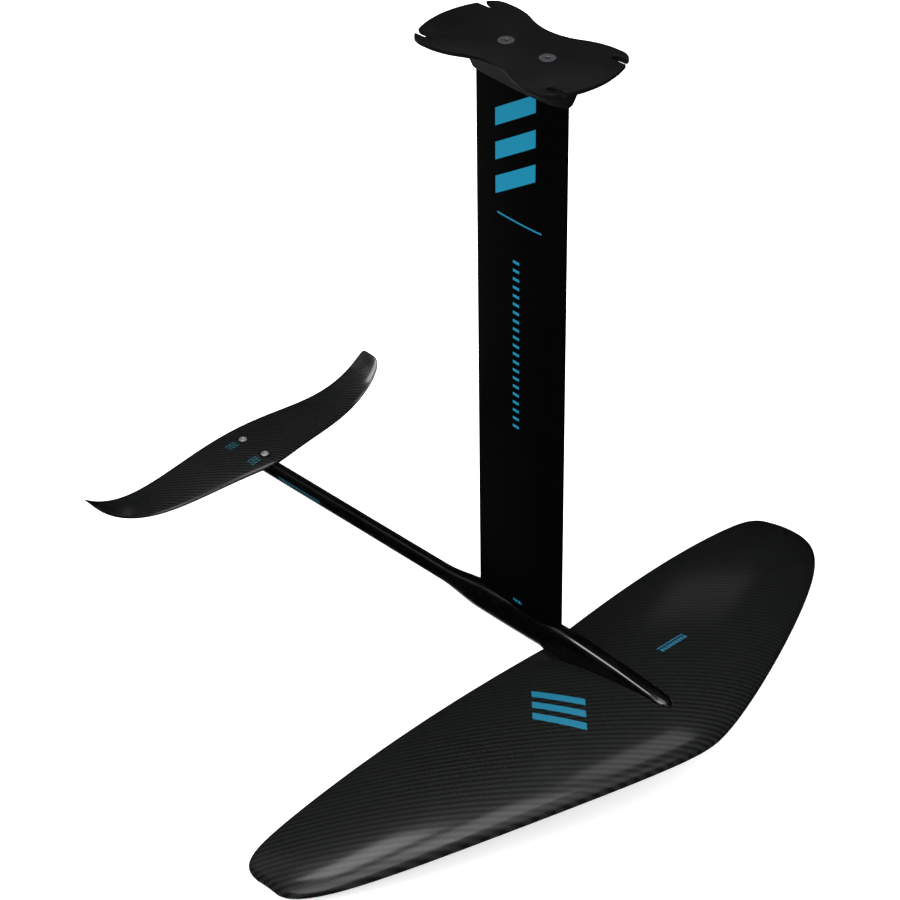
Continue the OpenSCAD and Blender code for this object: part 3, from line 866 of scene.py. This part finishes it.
def carbon_twill(name, tow, coat_ior, marks):
    """2x2 twill under a clear coat: tows along x and y, wales along the plan's diagonal, with painted sheen
    and painted shade in the tow tones.
    """
    f = Finish(name, IOR=1.5)
    f.shader.inputs["Coat Weight"].default_value = 1.0
    f.shader.inputs["Coat Roughness"].default_value = 0.16
    f.shader.inputs["Coat IOR"].default_value = coat_ior
    f.shader.inputs["Specular IOR Level"].default_value = 0.3
    x, y, z, place = f.millimetres()
    across = f.math("DIVIDE", x, tow)
    along = f.math("DIVIDE", y, tow)
    step = f.math("SUBTRACT", f.math("FLOOR", across), f.math("FLOOR", along))
    over = f.math("LESS_THAN", f.math("FLOORED_MODULO", step, 4.0), 1.5)
    crown = []
    for cells in (along, across):
        swing = f.math("SUBTRACT", f.math("MULTIPLY", f.math("FRACT", cells), 2.0), 1.0)
        crown.append(f.math("SUBTRACT", 1.0, f.math("MULTIPLY", swing, swing)))
    warp = f.math("MULTIPLY", over, crown[0])
    weft = f.math("MULTIPLY", f.math("SUBTRACT", 1.0, over), crown[1])
    height = f.math("ADD", warp, weft)
    fibres = f.mix(
        over,
        f.noise(place, 1.0, 2.0, stretch=(6, 0.5, 1)),
        f.noise(place, 1.0, 2.0, stretch=(0.5, 6, 1)),
    )
    # Fibre grain, and each tow painted lighter on its crown and darker at its edges: painted highlight and
    # painted shade
    grain_and_painted_crown_shade = f.math("MULTIPLY", f.ramp(fibres, 0.3, 0.7, 0.75, 1.2), f.ramp(height, 0.0, 1.0, 0.55, 1.15))
    # Warp tows dark, weft tows lighter: painted sheen for how differently the two tow directions reflect
    # light
    light = f.mix(over, linear(9, 10, 10), linear(24, 27, 26))
    painted_shade_node = f.node("ShaderNodeVectorMath", operation="SCALE")
    f.put(painted_shade_node.inputs[0], light)
    f.put(painted_shade_node.inputs["Scale"], grain_and_painted_crown_shade)
    colour = painted_shade_node.outputs[0]
    cloud = f.noise(place, 0.012, 3.0)
    roughness = f.math("ADD", f.ramp(over, 0.0, 1.0, 0.5, 0.38), f.ramp(cloud, 0.3, 0.7, -0.03, 0.04))
    mask, ink = marks(f, x, y, z)
    colour = f.mix(mask, colour, ink)
    roughness = f.math("ADD", roughness, f.math("MULTIPLY", mask, 0.1))
    f.set("Base Color", colour)
    f.set("Roughness", roughness)
    f.set("Normal", f.bump(height, 0.12, 0.8))
    haze = f.noise(place, 0.3, 3.0, 0.5)
    f.set("Coat Normal", f.bump(haze, 0.02, 0.25))
    return f


def wing_marks(f, x, y, z):
    """Three plain slanted bars on the starboard half; a short rule and a row of ticks on the port half."""
    run = f.math("SUBTRACT", x, y)
    side = f.math("ADD", x, y)
    tilted = f.slant(side, run, 0.45)
    stripes = f.dashes(f.math("ADD", tilted, -158), 28, 0.55)
    bars = f.all(f.near(side, 55, 40), f.near(tilted, 200, 42), stripes)
    along = f.near(y, 84, 21)
    ticks = f.all(along, f.near(x, 153, 2.6), f.dashes(y, 4.6, 0.62))
    rule = f.all(along, f.near(x, 147.5, 0.7))
    upper = f.math("GREATER_THAN", z, -745.0)
    return f.all(f.any(bars, ticks, rule), upper), TEAL


def stab_marks(f, x, y, z):
    """Three short lines beside each screw."""
    masks = []
    for centre in STAB_SCREWS:
        away = f.math("SUBTRACT", x, centre)
        block = f.all(f.near(away, 0, 5.5), f.near(y, -17.5, 7.5))
        masks.append(f.all(block, f.dashes(away, 3.9, 0.42), f.dashes(y, 5.2, 0.78)))
    return f.any(*masks), FADED_TEAL


def gloss_black(name):
    """Polished black fuselage: deep gloss with faint orange peel, and a row of ticks on the boom."""
    f = Finish(name, IOR=1.5)
    f.shader.inputs["Coat Weight"].default_value = 1.0
    f.shader.inputs["Coat Roughness"].default_value = 0.1
    f.shader.inputs["Coat IOR"].default_value = 1.85
    x, y, z, place = f.millimetres()
    cloud = f.noise(place, 0.03, 3.0)
    colour = f.mix(f.ramp(cloud, 0.3, 0.7), linear(2, 2, 2), linear(4, 4, 4))
    row = f.all(
        f.near(x, -356, 37), f.near(z, AXIS_Z, 1.3),
        f.dashes(x, 4.4, 0.62), f.math("LESS_THAN", y, 0.0),
    )
    f.set("Base Color", f.mix(row, colour, FADED_TEAL))
    f.set("Roughness", f.ramp(cloud, 0.3, 0.7, 0.22, 0.32))
    f.set("Coat Normal", f.bump(f.noise(place, 0.12, 2.0), 0.05, 0.2))
    return f


def machined_steel(name, base, rough, metallic):
    """Brushed steel: fine scratches and a slightly uneven, hazy polish."""
    f = Finish(name, Metallic=metallic)
    place = f.millimetres()[3]
    cloud = f.noise(place, 0.35, 3.0)
    scratch = f.noise(place, 1.4, 3.0, 0.6, stretch=(1, 1, 6))
    dark = tuple(c * 0.8 for c in base[:3]) + (1,)
    f.set("Base Color", f.mix(f.ramp(cloud, 0.3, 0.7), dark, base))
    clouded = f.ramp(cloud, 0.3, 0.7, rough, rough + 0.08)
    f.set("Roughness", f.math("ADD", clouded, f.ramp(scratch, 0.3, 0.7, -0.04, 0.05)))
    f.set("Normal", f.bump(scratch, 0.015, 0.5))
    return f


def black_oxide(name):
    f = Finish(name, Metallic=0.2)
    place = f.millimetres()[3]
    grain = f.noise(place, 1.1, 3.0)
    f.set("Base Color", f.mix(f.ramp(grain, 0.3, 0.7), linear(4, 4, 4), linear(12, 12, 13)))
    f.set("Roughness", f.ramp(grain, 0.2, 0.8, 0.32, 0.46))
    f.set("Normal", f.bump(grain, 0.02, 0.5))
    return f


def closed_foam(name, base):
    """Cell foam, seen only if the part is taken apart."""
    f = Finish(name)
    place = f.millimetres()[3]
    cells = f.node("ShaderNodeTexVoronoi", {"Vector": place, "Scale": 1.1}).outputs["Distance"]
    pale = tuple(min(1, c * 1.2) for c in base[:3]) + (1,)
    f.set("Base Color", f.mix(f.ramp(cells, 0.0, 0.7), base, pale))
    f.set("Roughness", f.ramp(cells, 0.0, 0.8, 0.95, 0.8))
    f.set("Normal", f.bump(cells, 0.3, 0.7))
    return f


def glass_laminate(name):
    """Dark laminate with a plain weave showing through."""
    f = Finish(name)
    x, y, z = f.millimetres()[:3]
    cells = [f.math("FLOOR", f.math("DIVIDE", v, 1.6)) for v in (x, y)]
    check = f.math("FLOORED_MODULO", f.math("ADD", *cells), 2.0)
    layers = f.math("FLOORED_MODULO", z, 0.5)
    f.set("Base Color", f.mix(check, linear(26, 29, 27), linear(34, 37, 34)))
    f.set("Roughness", f.ramp(layers, 0.0, 0.5, 0.45, 0.6))
    f.set("Normal", f.bump(check, 0.05, 0.5))
    return f


def dress(piece, finish):
    piece.data.materials.clear()
    piece.data.materials.append(finish.data)


def recolour(node, finish):
    for slot in NODE[node].material_slots:
        slot.material = finish.data


# ---------- Floor, light ----------
FLOOR_GAP = 0.0015
FLOOR_HALF = 30
FLOOR_GLOW = 0.45


def make_floor():
    low = cad_box[0][2] - FLOOR_GAP
    bm = bmesh.new()
    bmesh.ops.create_grid(bm, x_segments=8, y_segments=8, size=FLOOR_HALF)
    mesh = bpy.data.meshes.new("floor")
    bm.to_mesh(mesh)
    bm.free()
    floor = link("floor", mesh)
    floor.location.z = low
    f = Finish("studio_floor", Roughness=0.9, Emission_Strength=FLOOR_GLOW)
    f.shader.inputs["Emission Color"].default_value = (1, 1, 1, 1)
    f.shader.inputs["Specular IOR Level"].default_value = 0.0
    place = f.node("ShaderNodeTexCoord").outputs["Object"]
    f.set("Base Color", f.mix(f.noise(place, 0.6, 2.0), (0.93, 0.93, 0.93, 1), (0.94, 0.94, 0.94, 1)))
    dress(floor, f)
    floor.visible_glossy = False
    floor.visible_shadow = False


def soft_light(name, centre, facing, size, radiance):
    """Rectangular light at centre, facing a point, with size (along, across) and a given radiance."""
    data = bpy.data.lights.new(name, "AREA")
    data.shape = "RECTANGLE"
    data.size, data.size_y = size
    data.energy = pi * size[0] * size[1] * radiance
    lamp = bpy.data.objects.new(name, data)
    bpy.context.scene.collection.objects.link(lamp)
    lamp.location = centre
    back = (Vector(centre) - Vector(facing)).normalized()
    side = Vector((1, 0, 0))
    side = (side - side.dot(back) * back).normalized()
    lamp.rotation_euler = Matrix((side, back.cross(side), back)).transposed().to_euler()
    lamp.visible_camera = False


MIDDLE = Vector((-0.05, 0, -0.6))
WORLD_STRENGTH = 1.8
# Name, direction from the foil, distance, size (fore and aft, across) and radiance
LIGHTS = [
    ("key_box", (-0.352, -0.207, 0.913), 7, (1.7, 2.6), 3.8),
    ("top_box", (0.03, -0.08, 1.0), 7, (2.4, 2.4), 2.2),
    ("top_fill_front", (0.34, -0.05, 0.94), 7, (2.4, 2.4), 0.7),
    ("top_fill_starboard", (0.05, -0.36, 0.94), 7, (2.4, 2.4), 1.7),
    ("top_fill_port", (0.0, 0.36, 0.94), 7, (2.4, 2.4), 1.2),
    ("front_card", (0.64, 0.0, 0.77), 7, (2.8, 3.6), 0.5),
    ("starboard_card", (0.0, -0.67, 0.74), 7, (3.0, 3.0), 1.75),
    ("boom_strip", (-0.58, -0.175, 0.80), 7, (0.8, 0.8), 0.35),
    ("rear_card", (-0.8, -0.2, 0.56), 7, (2.4, 2.4), 0.17),
    ("port_card", (-0.58, 0.76, 0.30), 7, (1.6, 1.2), 0.12),
    ("low_card", (-0.60, 0.10, -0.78), 4, (1.6, 1.8), 1.0),
    ("low_rear_card", (-0.90, -0.10, -0.46), 6, (1.4, 1.6), 1.3),
]


def make_light():
    world = bpy.data.worlds.new("studio")
    world.use_nodes = True
    sky = world.node_tree.nodes["Background"]
    sky.inputs["Color"].default_value = (1, 1, 1, 1)
    sky.inputs["Strength"].default_value = WORLD_STRENGTH
    bpy.context.scene.world = world
    # Glossy rays meet the cards, but not the world or the floor
    world.cycles_visibility.glossy = False
    for name, toward, reach, size, radiance in LIGHTS:
        toward = Vector(toward).normalized()
        soft_light(name, MIDDLE + reach * toward, MIDDLE, size, radiance)


# ---------- Build ----------
PIECES = [
    (make_plate, ["mast_plate"], "anodised_plate"),
    (make_plate_screws, ["mast_plate_screws"], "dark_steel"),
    (make_collar, ["mast_head"], "anodised_plate"),
    (make_mast, ["mast"], "anodised_mast"),
    (make_fuselage, ["fuselage"], "gloss_alloy"),
    (lambda: make_wing_skin("upper_skin", 1), ["front_wing_upper_skin"], "carbon_twill"),
    (lambda: make_wing_skin("lower_skin", -1), ["front_wing_lower_skin"], "carbon_twill"),
    (make_wing_screws, ["front_wing_screws"], "steel"),
    (make_wing_washers, ["front_wing_washers"], "black_washer"),
    (make_stabiliser, ["stabiliser"], "carbon_twill"),
    (make_stab_screws, ["stabiliser_screws"], "steel"),
    (make_stab_washers, ["stabiliser_washers"], "black_washer"),
]

plate_black = anodised("anodised_plate", linear(8, 8, 9), 0.5, 0.02)
mast_black = anodised("anodised_mast", linear(2, 2, 3), 0.42, 0.0, mast_marks)
mast_black.shader.inputs["Specular IOR Level"].default_value = 0.05
body_black = gloss_black("gloss_alloy")
wing_carbon = carbon_twill("carbon_twill", 2.3, 1.48, wing_marks)
tail_carbon = carbon_twill("carbon_twill_tail", 1.62, 1.95, stab_marks)
steel = machined_steel("steel", linear(205, 206, 208), 0.26, 0.85)
dark_steel = machined_steel("dark_steel", linear(125, 127, 131), 0.36, 0.85)
washer_black = black_oxide("black_washer")
plug_foam = closed_foam("plug_foam", linear(120, 122, 118))
core_foam = closed_foam("core_foam", linear(74, 72, 66))
laminate = glass_laminate("glass_laminate")

FINISHES = {
    "mast_plate": plate_black, "mast_plate_screws": dark_steel, "mast_head": plate_black,
    "mast": mast_black, "fuselage": body_black,
    "front_wing_upper_skin": wing_carbon, "front_wing_lower_skin": wing_carbon,
    "front_wing_screws": steel, "front_wing_washers": washer_black,
    "stabiliser": tail_carbon, "stabiliser_screws": steel, "stabiliser_washers": washer_black,
}
for make, nodes, slot in PIECES:
    piece = make()
    dress(piece, FINISHES[nodes[0]])
    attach(piece, "root")
    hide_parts(*nodes)

HIDDEN = {
    "mast_head_thread_inserts": steel, "mast_foot_thread_inserts": steel,
    "mast_foot_screws": steel, "fuselage_wing_inserts": steel, "fuselage_tail_inserts": steel,
    "mast_head_plugs": plug_foam, "mast_foot_plugs": plug_foam,
    "front_wing_core": core_foam, "front_wing_hardpoint": laminate,
}
for node, finish in HIDDEN.items():
    recolour(node, finish)

make_floor()
make_light()
bpy.context.scene.view_settings.view_transform = "Standard"
